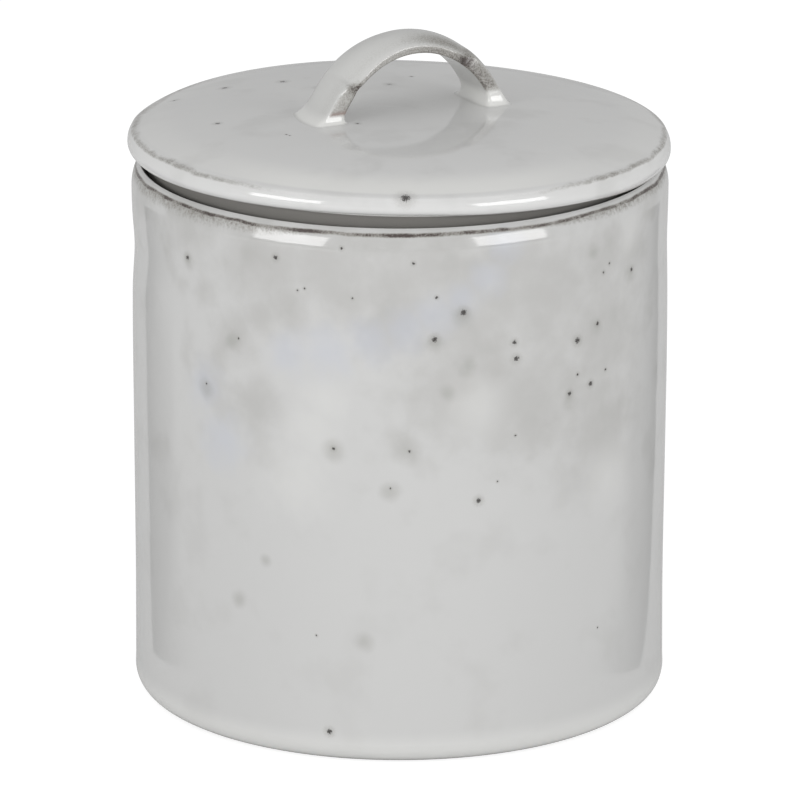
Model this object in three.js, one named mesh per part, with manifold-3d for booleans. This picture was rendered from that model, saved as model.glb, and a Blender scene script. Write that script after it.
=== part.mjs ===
// Lidded stoneware jar: a thrown jar with a ledge inside its rim, a thrown lid and a strap handle.
// Millimetres, +Z up. The origin is on the axis at the foot, and the handle's arch runs along X.
import * as THREE from 'three';
import { mergeVertices } from 'three/addons/utils/BufferGeometryUtils.js';
import Module from 'manifold-3d';

// Jar
const bodyRadius = 61.6;
const jarHeight = 126.3;
const wall = 4.2;
const floorThickness = 4.6;
const baseRounding = 5.2;
const insideRounding = 8;
const footWidth = 6;
const footRecess = 1.4;
const waistBelowRim = 19.3;
const waistDepth = 0.35;
const waistReach = 13;
const swellBelowRim = 5.8;
const swell = 0.1;

// Ledge inside the rim, which carries the lid
const lipWall = 2.2;
const lipRounding = 0.4;
const lipDepth = 3.3;
const ledgeWidth = 4.5;
const ledgeThickness = 3.7;

// Lid
const brimRadius = 62.35;
const brimAboveRim = 1.9;
const brimLowerHeight = 2.3;
const brimLowerInset = 2.9;
const brimFaceHeight = 2.5;
const brimFaceInset = 0.8;
const brimShoulderHeight = 0.65;
const brimShoulderInset = 1.35;
const domeRise = 4.25;
const lidThickness = 5;
const coveRadius = 1.2;
const underFillet = 3;
const flangeWall = 3.6;
const flangeDepth = 8.7;

// Fits
const seatGap = 0.3;
const seatClearance = 1.9;
const flangeClearance = 0.8;
const handleGap = 0.3;

// Handle
const archHalfSpan = 21.2;
const archRise = 25.2;
const archBelowCrest = 10.9;
const strapWidth = 13;
const strapEdge = 1.7;
const strapCrown = 2.4;
const footFlareHeight = 6;
const footFlareSide = 1.8;
const footFlareOut = 2;
const footFlareIn = 1;

// Facets
const turnSegments = 64;
const curveSegments = 4;
const domeSegments = 8;
const archSegments = 28;
const crownSegments = 8;

// Heights and radii that follow from the sizes above
const swellRadius = bodyRadius + swell;
const lipInner = swellRadius - lipWall;
const ledgeZ = jarHeight - lipDepth;
const ledgeInner = lipInner - ledgeWidth;
const innerRadius = bodyRadius - wall;
const footOuter = bodyRadius - baseRounding;
const floorZ = footRecess + floorThickness;
const brimUnderZ = jarHeight + brimAboveRim;
const brimWidestZ = brimUnderZ + brimLowerHeight;
const brimTopZ = brimWidestZ + brimFaceHeight + brimShoulderHeight;
const domeRadius = brimRadius - brimFaceInset - brimShoulderInset;
const crestZ = brimTopZ + domeRise;
const seatOuter = lipInner - seatClearance;
const flangeOuter = ledgeInner - flangeClearance;
const flangeInner = flangeOuter - flangeWall;
const flangeBottomZ = ledgeZ - flangeDepth;
const archZ = crestZ - archBelowCrest;

// Power of the radius that gives the dome its shape: flat in the middle and falling fast to the brim
const domeFullness = 4.4;

// Power of the sine that gives the arch its height: 1 makes an ellipse and less makes fuller shoulders
const archFullness = 0.92;

const wasm = await Module();
wasm.setup();

// Height of the lid's domed top at a distance from the axis
function domeZ(radius) {
  return crestZ - domeRise * Math.abs(radius / domeRadius) ** domeFullness;
}

// The dome's outline, from its edge to its crest, at a height above it
function domeOutline(profile, above) {
  for (let i = 1; i <= domeSegments; i += 1) {
    const radius = domeRadius * Math.sqrt(1 - i / domeSegments);
    profile.lineTo(radius, domeZ(radius) + above);
  }
}

// A profile of radius and height, turned about Z into a closed body
function turned(profile) {
  const geometry = new THREE.LatheGeometry(profile.getPoints(curveSegments), turnSegments);
  return geometry.rotateX(Math.PI / 2);
}

// A closed geometry as a solid for cutting
function solid(geometry) {
  const bare = geometry.clone();
  bare.deleteAttribute('normal');
  bare.deleteAttribute('uv');
  const merged = mergeVertices(bare, 1e-4);
  const corners = Array.from(merged.index.array);
  const faces = [];
  for (let i = 0; i < corners.length; i += 3) {
    const [a, b, c] = corners.slice(i, i + 3);
    if (a !== b && b !== c && c !== a) faces.push(a, b, c);
  }
  return new wasm.Manifold(new wasm.Mesh({
    numProp: 3,
    vertProperties: new Float32Array(merged.attributes.position.array),
    triVerts: new Uint32Array(faces),
  }));
}

// A cut solid as a geometry again
function geometryOf(manifold) {
  const mesh = manifold.getMesh();
  const geometry = new THREE.BufferGeometry();
  geometry.setAttribute('position', new THREE.BufferAttribute(mesh.vertProperties, 3));
  geometry.setIndex(new THREE.BufferAttribute(mesh.triVerts, 1));
  geometry.computeVertexNormals();
  return geometry;
}

// Rings of points, equal in number, skinned in order and closed at both ends
function lofted(rings) {
  const count = rings[0].length;
  const positions = rings.flat().flatMap((point) => point.toArray());
  const faces = [];
  for (let ring = 0; ring < rings.length - 1; ring += 1) {
    for (let i = 0; i < count; i += 1) {
      const a = ring * count + i;
      const b = ring * count + (i + 1) % count;
      faces.push(a, b, b + count, a, b + count, a + count);
    }
  }
  const last = (rings.length - 1) * count;
  for (let i = 1; i < count - 1; i += 1) {
    faces.push(0, i + 1, i, last, last + i, last + i + 1);
  }
  const geometry = new THREE.BufferGeometry();
  geometry.setAttribute('position', new THREE.Float32BufferAttribute(positions, 3));
  geometry.setIndex(faces);
  geometry.computeVertexNormals();
  return geometry;
}

// The jar's foot, wall, waist and swelling rim, then its ledge and inside
function jarGeometry() {
  const waistZ = jarHeight - waistBelowRim;
  const swellZ = jarHeight - swellBelowRim;
  const lipCrown = lipInner + lipRounding;
  const profile = new THREE.Path();
  profile.moveTo(0, footRecess);
  profile.lineTo(footOuter - footWidth, footRecess);
  profile.lineTo(footOuter - footWidth + footRecess, 0);
  profile.lineTo(footOuter, 0);
  profile.absarc(footOuter, baseRounding, baseRounding, -Math.PI / 2, 0, false);
  profile.lineTo(bodyRadius, waistZ - waistReach);
  profile.bezierCurveTo(
    bodyRadius, waistZ - waistReach / 2,
    bodyRadius - waistDepth, waistZ - waistReach / 2,
    bodyRadius - waistDepth, waistZ,
  );
  profile.bezierCurveTo(
    bodyRadius - waistDepth, (waistZ + swellZ) / 2,
    swellRadius, (waistZ + swellZ) / 2,
    swellRadius, swellZ,
  );
  profile.quadraticCurveTo(swellRadius, (swellZ + jarHeight) / 2, lipCrown, jarHeight);
  profile.absarc(lipCrown, jarHeight - lipRounding, lipRounding, Math.PI / 2, Math.PI, false);
  profile.lineTo(lipInner, ledgeZ);
  profile.lineTo(ledgeInner, ledgeZ);
  profile.lineTo(ledgeInner, ledgeZ - ledgeThickness);
  profile.lineTo(innerRadius, ledgeZ - ledgeThickness - (innerRadius - ledgeInner));
  profile.lineTo(innerRadius, floorZ + insideRounding);
  profile.absarc(
    innerRadius - insideRounding, floorZ + insideRounding, insideRounding, 0, -Math.PI / 2, true,
  );
  profile.lineTo(0, floorZ);
  return turned(profile);
}

// The lid's hollow underside, locating flange, seat, brim with its leaning face, and domed top
function lidGeometry() {
  const hollowRadius = flangeInner - underFillet;
  const hollowZ = domeZ(hollowRadius) - lidThickness;
  const domeSlope = domeFullness * domeRise / domeRadius;
  const faceTopZ = brimWidestZ + brimFaceHeight;
  const shoulderReach = brimShoulderInset / 2;
  const flangeTip = flangeWall / 2;
  const profile = new THREE.Path();
  profile.moveTo(0, crestZ - lidThickness);
  profile.quadraticCurveTo(hollowRadius / 2, crestZ - lidThickness, hollowRadius, hollowZ);
  profile.quadraticCurveTo(flangeInner, hollowZ, flangeInner, hollowZ - underFillet);
  profile.lineTo(flangeInner, flangeBottomZ + flangeTip);
  profile.absarc(flangeInner + flangeTip, flangeBottomZ + flangeTip, flangeTip, Math.PI, 2 * Math.PI, false);
  profile.lineTo(flangeOuter, ledgeZ + seatGap);
  profile.lineTo(seatOuter, ledgeZ + seatGap);
  profile.lineTo(seatOuter, brimUnderZ - coveRadius);
  profile.quadraticCurveTo(seatOuter, brimUnderZ, seatOuter + coveRadius, brimUnderZ);
  profile.lineTo(brimRadius - brimLowerInset, brimUnderZ);
  profile.absellipse(
    brimRadius - brimLowerInset, brimWidestZ, brimLowerInset, brimLowerHeight, -Math.PI / 2, 0, false,
  );
  profile.quadraticCurveTo(brimRadius, (brimWidestZ + faceTopZ) / 2, brimRadius - brimFaceInset, faceTopZ);
  profile.quadraticCurveTo(
    domeRadius + shoulderReach, brimTopZ - shoulderReach * domeSlope, domeRadius, brimTopZ,
  );
  domeOutline(profile, 0);
  return turned(profile);
}

// Everything up to a small gap above the lid's top, which the handle's feet are cut to
function belowDome() {
  const deepest = domeZ(domeRadius) - archRise;
  const profile = new THREE.Path();
  profile.moveTo(0, deepest);
  profile.lineTo(domeRadius, deepest);
  profile.lineTo(domeRadius, domeZ(domeRadius) + handleGap);
  domeOutline(profile, handleGap);
  return solid(turned(profile));
}

// One section of the strap: a flat inner face, two low edges and a crowned back
function strapSection(angle) {
  const rise = archRise * Math.sin(angle) ** archFullness;
  const inner = new THREE.Vector3(archHalfSpan * Math.cos(angle), 0, archZ + rise);
  const steepness = archFullness * rise * Math.cos(angle) / Math.sin(angle);
  const outward = new THREE.Vector3(steepness, 0, archHalfSpan * Math.sin(angle)).normalize();
  const aboveLid = inner.z - domeZ(inner.x);
  const flare = (1 - THREE.MathUtils.clamp(aboveLid / footFlareHeight, 0, 1)) ** 2;
  const halfWidth = strapWidth / 2 + footFlareSide * flare;
  const point = (across, depth) => inner.clone().addScaledVector(outward, depth).setY(across * halfWidth);
  const back = strapEdge + footFlareOut * flare;
  const section = [point(-1, -footFlareIn * flare)];
  for (let i = 0; i <= crownSegments; i += 1) {
    const across = -Math.cos(Math.PI * i / crownSegments);
    section.push(point(across, back + strapCrown * Math.sqrt(1 - across ** 2)));
  }
  section.push(point(1, -footFlareIn * flare));
  return section;
}

// The pulled strap, bent to an arch whose flared feet follow the lid
function handleGeometry() {
  const footDepth = footFlareHeight / 2;
  const rise = domeZ(archHalfSpan) - footDepth - archZ;
  const start = Math.asin((rise / archRise) ** (1 / archFullness));
  const rings = [];
  for (let i = 0; i <= archSegments; i += 1) {
    rings.push(strapSection(start + (Math.PI - 2 * start) * i / archSegments));
  }
  return geometryOf(solid(lofted(rings)).subtract(belowDome()));
}

// A named piece with its glaze
function piece(name, geometry, color, roughness) {
  const material = new THREE.MeshStandardMaterial({ color, roughness, metalness: 0 });
  const mesh = new THREE.Mesh(geometry, material);
  mesh.name = name;
  return mesh;
}

const assembly = new THREE.Group();
assembly.add(piece('jar', jarGeometry(), 0xd2d2ce, 0.22));
assembly.add(piece('lid', lidGeometry(), 0xcbcbc7, 0.16));
assembly.add(piece('handle', handleGeometry(), 0xc6c6c2, 0.2));

export default assembly;
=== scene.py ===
# %% [markdown]
# A lidded stoneware jar: a thrown jar, a thrown lid that sits on a ledge inside the rim, and a pulled
# strap handle on the lid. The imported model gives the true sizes. This lesson makes the finished surfaces
# around it: round walls with the small unevenness of a thrown pot, a handle whose feet melt into the
# lid under the glaze, and a white-grey glaze with iron spots that breaks brown where it runs thin.

# %% Load the frame
import math
import bmesh
import bpy
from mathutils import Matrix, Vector


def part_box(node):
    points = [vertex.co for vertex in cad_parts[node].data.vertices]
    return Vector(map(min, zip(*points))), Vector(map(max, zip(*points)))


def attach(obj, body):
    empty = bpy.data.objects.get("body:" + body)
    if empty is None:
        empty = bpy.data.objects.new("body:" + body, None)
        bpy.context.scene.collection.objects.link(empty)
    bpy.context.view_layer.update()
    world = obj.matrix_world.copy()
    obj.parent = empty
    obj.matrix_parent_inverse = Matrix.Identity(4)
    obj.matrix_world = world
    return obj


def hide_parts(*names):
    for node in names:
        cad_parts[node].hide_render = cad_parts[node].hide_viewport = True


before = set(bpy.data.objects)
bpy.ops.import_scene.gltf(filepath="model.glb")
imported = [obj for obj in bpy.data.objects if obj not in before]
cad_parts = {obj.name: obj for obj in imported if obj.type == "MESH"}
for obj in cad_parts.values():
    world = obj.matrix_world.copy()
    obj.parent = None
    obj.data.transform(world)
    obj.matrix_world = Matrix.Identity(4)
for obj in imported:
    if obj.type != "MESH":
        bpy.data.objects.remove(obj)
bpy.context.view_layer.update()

# %% [markdown]
# Sizes come first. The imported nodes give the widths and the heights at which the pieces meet. What a box
# can't say, such as a wall's thickness or the radius of a corner, is named where it is first needed, in
# millimetres. The rim sank a little in the firing, and the brim drew in by a third of that.

# %% Sizes from the frame
MM = 0.001
FIRED_SINK = 0.15
FIRED_DRAW = 0.05
RIM_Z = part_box("jar")[1].z / MM - FIRED_SINK
RIM_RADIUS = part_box("jar")[1].x / MM
CREST_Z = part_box("lid")[1].z / MM
BRIM_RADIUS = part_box("lid")[1].x / MM - FIRED_DRAW
FLANGE_BOTTOM_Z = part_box("lid")[0].z / MM
print("rim", round(RIM_Z, 2), "crest", round(CREST_Z, 2), "brim radius", round(BRIM_RADIUS, 2))

# %% [markdown]
# The camera stands where the photographer stood: a little to the left of the handle's broad side and
# about 17 degrees above the jar. It is far away with a long lens, so the walls stay nearly parallel. Its
# two level directions are kept, because the pot's small faults are placed as they are seen from here.

# %% Camera
VIEW_AZIMUTH = math.radians(-28)
CAMERA_OUT = 1.7
CAMERA_UP = 0.5923
LOOK_AT = Vector((0, 0, 0.06786))
LENS_MM = 345.5
SENSOR_MM = 36
FAR_CLIP = 50
PHOTO_SIDE = 800
TO_CAMERA = Vector((math.sin(VIEW_AZIMUTH), -math.cos(VIEW_AZIMUTH), 0))
TO_RIGHT = Vector((math.cos(VIEW_AZIMUTH), math.sin(VIEW_AZIMUTH), 0))
eye = TO_CAMERA * CAMERA_OUT + Vector((0, 0, CAMERA_UP))
bpy.ops.object.camera_add(location=eye, rotation=(LOOK_AT - eye).to_track_quat("-Z", "Y").to_euler())
camera = bpy.context.active_object
camera.name = "photo_camera"
camera.data.lens = LENS_MM
camera.data.sensor_width = SENSOR_MM
camera.data.clip_end = FAR_CLIP
bpy.context.scene.camera = camera
print("camera", round((eye - LOOK_AT).length, 3), "m away")

# %% [markdown]
# A thrown pot is a turned body, so its outline is drawn once, on one side of the axis, and spun. It could
# be traced as a free curve, but a chain of straight stretches, arcs and short curves keeps each corner's
# radius a plain number. All of it is in millimetres of radius and height.

# %% Outline helpers
def straight(start, end, step):
    """Points from start to end, about a step apart, without the first."""
    count = max(1, round(math.dist(start, end) / step))
    return [tuple(a + (b - a) * i / count for a, b in zip(start, end)) for i in range(1, count + 1)]


def arc(centre, radius, start, end, steps, height=None):
    """Points on an arc between two angles in degrees, 0 outwards and 90 up, without the first."""
    height = height or radius
    angles = [math.radians(start + (end - start) * i / steps) for i in range(1, steps + 1)]
    return [(centre[0] + radius * math.cos(a), centre[1] + height * math.sin(a)) for a in angles]


def curve(start, pull_a, pull_b, end, steps):
    """Points on a Bezier curve between start and end, without the first."""
    points = []
    for i in range(1, steps + 1):
        t = i / steps
        weights = ((1 - t) ** 3, 3 * t * (1 - t) ** 2, 3 * t * t * (1 - t), t ** 3)
        points.append(tuple(
            sum(w * p[k] for w, p in zip(weights, (start, pull_a, pull_b, end))) for k in (0, 1)
        ))
    return points


def smooth(value, low, high):
    """0 below low, 1 above high, and an even rise between."""
    t = min(max((value - low) / (high - low), 0), 1)
    return t * t * (3 - 2 * t)


def bump(value, centre, width):
    """A bell of height 1 round a centre."""
    return math.exp(-(((value - centre) / width) ** 2))


# %% [markdown]
# Blender's Spin tool does what the wheel does. One vertex is extruded from point to point along the
# outline, and the chain is spun once round the axis. The seam and the points on the axis come out twice,
# so they are merged at the end.

# %% Spin an outline into a turned body
def turned(name, outline, steps):
    """Extrudes one vertex along the outline, spins it round Z and closes seam and poles."""
    bpy.ops.object.select_all(action="DESELECT")
    bpy.ops.mesh.primitive_plane_add(size=MM)
    piece = bpy.context.active_object
    piece.name = name
    piece.data.name = name
    bpy.ops.object.mode_set(mode="EDIT")
    bpy.ops.mesh.select_all(action="SELECT")
    bpy.ops.mesh.merge(type="CENTER")
    bpy.ops.transform.translate(value=(outline[0][0] * MM, 0, outline[0][1] * MM))
    for (r0, z0), (r1, z1) in zip(outline, outline[1:]):
        move = {"value": ((r1 - r0) * MM, 0, (z1 - z0) * MM)}
        bpy.ops.mesh.extrude_vertices_move(TRANSFORM_OT_translate=move)
    bpy.ops.mesh.select_all(action="SELECT")
    bpy.ops.mesh.spin(steps=steps, angle=math.tau, center=(0, 0, 0), axis=(0, 0, 1))
    bpy.ops.mesh.select_all(action="SELECT")
    bpy.ops.mesh.remove_doubles(threshold=0.001 * MM)
    bpy.ops.mesh.normals_make_consistent(inside=False)
    bpy.ops.object.mode_set(mode="OBJECT")
    bpy.ops.object.shade_smooth()
    print(name, len(outline), "outline points,", len(piece.data.polygons), "faces")
    return piece


# %% [markdown]
# The jar is one thrown wall: a bare foot ring round a shallow recess, a rounded lower edge, a straight
# wall that draws in a little below the rim, and a rim that swells and closes over a ledge. The ledge was
# pushed down from inside while the clay was soft, and it carries the lid.

# %% Jar outline
TURN_STEPS = 256
WALL = 4.2
BODY_RADIUS = RIM_RADIUS - 0.1
BASE_ROUNDING = 5.0
FOOT_OUTER = BODY_RADIUS - BASE_ROUNDING
FOOT_INNER = FOOT_OUTER - 6
FOOT_RECESS = 1.4
FLOOR_Z = 6.0
INSIDE_ROUNDING = 8
WAIST_Z = RIM_Z - 19.2
WAIST_DEPTH, WAIST_SPREAD = 0.12, 7
BELLY_DEPTH, BELLY_Z = 0.14, 84
HOLLOW_DEPTH, HOLLOW_Z = 0.17, 25
BELLY_SPREAD = 22
SWELL_Z = RIM_Z - 5.6
SHOULDER_ROUNDING = 9.5
SHOULDER_TURN = 34
LIP_INNER = RIM_RADIUS - 2.2
LIP_ROUNDING = 0.3
LEDGE_Z = RIM_Z - 3.3
LEDGE_INNER = LIP_INNER - 4.5
LEDGE_THICKNESS = 3.7
LEDGE_CORNER = 0.5
INNER_RADIUS = BODY_RADIUS - WALL


def wall_radius(z):
    """The outer wall: nearly straight, drawn in at the waist and swelling to the rim."""
    waist = WAIST_DEPTH * bump(z, WAIST_Z, WAIST_SPREAD)
    shoulder = (RIM_RADIUS - BODY_RADIUS) * smooth(z, WAIST_Z, SWELL_Z)
    belly = BELLY_DEPTH * bump(z, BELLY_Z, BELLY_SPREAD) - HOLLOW_DEPTH * bump(z, HOLLOW_Z, BELLY_SPREAD)
    return BODY_RADIUS - waist + shoulder + belly


def jar_outline():
    """Underside, foot ring, outer wall, rim, ledge, inner wall and floor."""
    lip_top = LIP_INNER + LIP_ROUNDING
    corner = LEDGE_CORNER
    under_ledge = LEDGE_Z - LEDGE_THICKNESS
    points = [(0, FOOT_RECESS)]
    points += straight(points[-1], (FOOT_INNER - 0.5, FOOT_RECESS), 4)
    points += curve(
        points[-1], (FOOT_INNER + 0.4, FOOT_RECESS), (FOOT_INNER + 0.6, 0), (FOOT_INNER + 1.8, 0), 8
    )
    points += straight(points[-1], (FOOT_OUTER, 0), 1)
    points += arc((FOOT_OUTER, BASE_ROUNDING), BASE_ROUNDING, -90, 0, 14)
    heights = straight((0, BASE_ROUNDING), (0, SWELL_Z), 2)
    points += [(wall_radius(z), z) for _, z in heights]
    swell = (RIM_RADIUS - SHOULDER_ROUNDING, SWELL_Z)
    points += arc(swell, SHOULDER_ROUNDING, 0, SHOULDER_TURN, 16)
    points += curve(
        points[-1], (lip_top + 0.12, RIM_Z - 0.18), (lip_top + 0.08, RIM_Z), (lip_top, RIM_Z), 5
    )
    points += arc((lip_top, RIM_Z - LIP_ROUNDING), LIP_ROUNDING, 90, 180, 5)
    points += straight(points[-1], (LIP_INNER, LEDGE_Z + corner), 0.8)
    points += arc((LIP_INNER - corner, LEDGE_Z + corner), corner, 0, -90, 4)
    points += straight(points[-1], (LEDGE_INNER + corner, LEDGE_Z), 1)
    points += arc((LEDGE_INNER + corner, LEDGE_Z - corner), corner, 90, 180, 4)
    points += straight(points[-1], (LEDGE_INNER, under_ledge + corner), 0.8)
    points += curve(
        points[-1], (LEDGE_INNER, under_ledge - 1), (INNER_RADIUS, under_ledge - 1.6),
        (INNER_RADIUS, under_ledge - 4), 8,
    )
    points += straight(points[-1], (INNER_RADIUS, FLOOR_Z + INSIDE_ROUNDING), 1.5)
    bowl = (INNER_RADIUS - INSIDE_ROUNDING, FLOOR_Z + INSIDE_ROUNDING)
    points += arc(bowl, INSIDE_ROUNDING, 0, -90, 12)
    points += straight(points[-1], (0, FLOOR_Z), 3)
    return points


jar = turned("jar_body", jar_outline(), TURN_STEPS)

# %% [markdown]
# No hand-thrown wall is a perfect cylinder. The finished wall gets the faults that the hands and the
# kiln leave: a soft pinch below the rim on the left, a lean of a fifth of a millimetre, and low waves.
# The inside keeps the rings that fingers leave in the wall of a pot as it rises.

# %% Unevenness of the thrown wall
LEAN = 0.2
PINCH = 0.45
LONG_WAVE, SHORT_WAVE, RIM_WAVE = 0.07, 0.05, 0.04
HEEL, HEEL_RIGHT = 0.05, 0.25
RING_PITCH = 7.5
RING_DEPTH = 0.12


def seen_angle(point):
    """The angle round the axis, 0 towards the camera and growing to its right."""
    return math.atan2(point.dot(TO_RIGHT), point.dot(TO_CAMERA))


def thrown(point):
    """Where a point of the jar ends up, in metres."""
    radius = math.hypot(point.x, point.y)
    if radius < 1 * MM:
        return point
    z = point.z / MM
    angle = seen_angle(point)
    up = smooth(z, 6, 40)
    wave = LONG_WAVE * math.sin(2 * angle + 0.6)
    wave += SHORT_WAVE * math.sin(3 * angle + z / 23) * (1 - smooth(z, 90, 110))
    wave += RIM_WAVE * math.sin(5 * angle - z / 11) * smooth(z, 100, 112)
    left = bump(math.remainder(angle + math.pi / 2, math.tau), 0, 0.6)
    wave -= PINCH * left * bump(z, WAIST_Z - 1, 6.5)
    if radius < (INNER_RADIUS + 0.5) * MM and FLOOR_Z < z < LEDGE_Z - LEDGE_THICKNESS - 4:
        wave += RING_DEPTH * math.sin(math.tau * z / RING_PITCH + angle) * smooth(z, 14, 24)
    heel = 0
    if radius > FOOT_OUTER * MM:
        heel = (HEEL + HEEL_RIGHT * smooth(math.sin(angle), 0, 0.8)) * bump(z, 1.2, 1.8)
    moved = point * ((radius + (wave * up + heel) * MM) / radius)
    moved.z = point.z
    return moved - TO_RIGHT * LEAN * MM * (1 - smooth(z, 0, RIM_Z))


for vertex in jar.data.vertices:
    vertex.co = thrown(vertex.co)
leftmost = min(v.co.dot(TO_RIGHT) for v in jar.data.vertices) / MM
print("the wall reaches", round(leftmost, 2), "mm to the left")

# %% [markdown]
# The lid is thrown upside down and turned: a flange that drops into the mouth, a seat that rests on the
# ledge, a thick brim with a leaning face, a tight shoulder above it, and a low dome. Its top follows a
# power of the radius rather than an arc, because it is flat in the middle and falls off near the brim.

# %% Lid outline
BRIM_UNDER_Z = RIM_Z + 2.2
BRIM_WIDEST_Z = BRIM_UNDER_Z + 2.15
BRIM_LOWER_INSET = 2.9
FACE_TOP_Z = BRIM_WIDEST_Z + 2.4
FACE_INSET = 0.8
BRIM_TOP_Z = FACE_TOP_Z + 0.8
SHOULDER_INSET = 1.65
DOME_RADIUS = BRIM_RADIUS - FACE_INSET - SHOULDER_INSET
DOME_RISE = CREST_Z - BRIM_TOP_Z
DOME_POWER = 4.4
LID_THICKNESS = 5
SEAT_Z = LEDGE_Z + 0.06
SEAT_OUTER = LIP_INNER - 1.9
SEAT_CORNER = 0.4
BRIM_CORNER = 1.2
FLANGE_OUTER = LEDGE_INNER - 0.8
FLANGE_CORNER = 0.6
FLANGE_WALL = 3.6
FLANGE_INNER = FLANGE_OUTER - FLANGE_WALL


def dome_z(radius):
    """Height of the lid's top, without its warp: flat in the middle, falling faster towards the brim."""
    return CREST_Z - DOME_RISE * (radius / DOME_RADIUS) ** DOME_POWER


def lid_outline():
    """Hollow underside, flange, seat, brim and dome."""
    hollow = FLANGE_INNER - 3
    under = dome_z(hollow) - LID_THICKNESS
    tip = FLANGE_WALL / 2
    slope = DOME_POWER * DOME_RISE / DOME_RADIUS
    points = [(0, CREST_Z - LID_THICKNESS)]
    points += [(r, dome_z(r) - LID_THICKNESS) for r, _ in straight((0, 0), (hollow, 0), 2.5)]
    points += curve(
        points[-1], (FLANGE_INNER - 1, under), (FLANGE_INNER, under - 1), (FLANGE_INNER, under - 3), 8
    )
    points += straight(points[-1], (FLANGE_INNER, FLANGE_BOTTOM_Z + tip), 1.5)
    points += arc((FLANGE_INNER + tip, FLANGE_BOTTOM_Z + tip), tip, 180, 360, 12)
    root = (FLANGE_OUTER + FLANGE_CORNER, SEAT_Z - FLANGE_CORNER)
    points += straight(points[-1], (FLANGE_OUTER, root[1]), 1.5)
    points += arc(root, FLANGE_CORNER, 180, 90, 4)
    seat = (SEAT_OUTER - SEAT_CORNER, SEAT_Z + SEAT_CORNER)
    points += straight(points[-1], (seat[0], SEAT_Z), 1)
    points += arc(seat, SEAT_CORNER, -90, 0, 4)
    neck = (SEAT_OUTER + BRIM_CORNER, BRIM_UNDER_Z - BRIM_CORNER)
    points += straight(points[-1], (SEAT_OUTER, neck[1]), 0.8)
    points += arc(neck, BRIM_CORNER, 180, 90, 5)
    lower = (BRIM_RADIUS - BRIM_LOWER_INSET, BRIM_WIDEST_Z)
    points += straight(points[-1], (lower[0], BRIM_UNDER_Z), 0.5)
    points += arc(lower, BRIM_LOWER_INSET, -90, 0, 12, BRIM_WIDEST_Z - BRIM_UNDER_Z)
    face = (BRIM_RADIUS - FACE_INSET, FACE_TOP_Z)
    points += curve(
        points[-1], (BRIM_RADIUS, BRIM_WIDEST_Z + 1.4), (face[0] + 0.3, face[1] - 0.6), face, 10
    )
    points += curve(
        face, (face[0] - 0.15, face[1] + 0.3),
        (DOME_RADIUS + 0.7, BRIM_TOP_Z - 0.7 * slope), (DOME_RADIUS, BRIM_TOP_Z), 10,
    )
    points += [(r, dome_z(r)) for r, _ in straight((DOME_RADIUS, 0), (0, 0), 1)]
    return points


lid = turned("lid_disc", lid_outline(), TURN_STEPS)

# %% [markdown]
# The lid warped a little in the firing: from the camera its right side lies nearly two millimetres lower
# than its left, and its edge waves behind on the left. The finished points are moved by two small rules,
# one for the top and one for the brim's underside, while the seat stays flat on the ledge.

# %% Warp of the lid
# Rise for each unit of distance: to the left, to the front, and in the crest and the droop of the wave.
LID_TILT = 0.0139
LID_NOD = 0.005
LID_CREST = 0.0056
LID_DROOP = 0.0105
# Where crest and droop lie, in degrees from the back towards the left, and how wide each one is.
CREST_AT, CREST_SPREAD = 22, 22
DROOP_AT, DROOP_SPREAD = 70, 18
LID_SADDLE = 0.9
LID_SAG = 0.28
SAG_EDGE, SAG_EDGE_AT, SAG_EDGE_SPREAD = 0.9, 53, 6
LID_SHIFT = -0.2


def warp(point):
    """How far the lid's top is lifted at a point, in the point's own unit."""
    front, right = point.dot(TO_CAMERA), point.dot(TO_RIGHT)
    behind = math.degrees(math.atan2(-right, -front))
    wave = LID_CREST * bump(behind, CREST_AT, CREST_SPREAD)
    wave -= LID_DROOP * bump(behind, DROOP_AT, DROOP_SPREAD)
    return LID_NOD * front - LID_TILT * right + wave * math.hypot(front, right)


def saddle(point):
    """How far the brim's underside is lifted, in metres: up in front and behind, down at the sides."""
    front, right = point.dot(TO_CAMERA), point.dot(TO_RIGHT)
    lift = LID_SADDLE * (front * front - right * right) / (BRIM_RADIUS * MM) ** 2
    sag = smooth(right / MM, 5, 20) + SAG_EDGE * bump(right / MM, SAG_EDGE_AT, SAG_EDGE_SPREAD)
    return (lift - LID_SAG * sag) * MM - LID_NOD * front


for vertex in lid.data.vertices:
    z = vertex.co.z / MM
    share = smooth(z, SEAT_Z + 0.3, BRIM_UNDER_Z)
    under = share * (1 - min(max((z - BRIM_UNDER_Z) / (BRIM_TOP_Z - BRIM_UNDER_Z), 0), 1))
    vertex.co.z += warp(vertex.co) * share + saddle(vertex.co) * under
    vertex.co += TO_RIGHT * LID_SHIFT * MM
print("lid top", round(max(v.co.z for v in lid.data.vertices) / MM, 2), "mm")

# %% [markdown]
# The handle is a pulled strap: flat inside, crowned outside. Its side towards the camera has a thin edge
# over the arch, which stops at two notches where the strap was pressed on, and a thicker one on the legs.
# A curve with a bevel profile would give one section all along. Here the section changes, so it is
# worked out anew for each step along the arch.

# %% Handle sections
ARCH_Z = CREST_Z - 10.9
ARCH_HALF_SPAN = 21.2
ARCH_RISE = 25.2
ARCH_FULLNESS = 0.92
STRAP_WIDTH = 13
STRAP_THICKNESS = 4.1
HANDLE_SHIFT = Vector((0.87, -0.46, 0))
NOTCH_LEFT = math.radians(134)
NOTCH_RIGHT = math.radians(57.5)
ARCH_EDGE, ARCH_EDGE_LOSS = 1.9, 0.8
LEG_EDGE, LEFT_LEG_GAIN = 3.1, 0.9
FAR_EDGE, FAR_EDGE_GAIN = 1.7, 0.9
DENT_LEFT, DENT_RIGHT, SWELLING = 0.55, 0.7, 0.45
INSIDE_HOLLOW = 0.25
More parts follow.
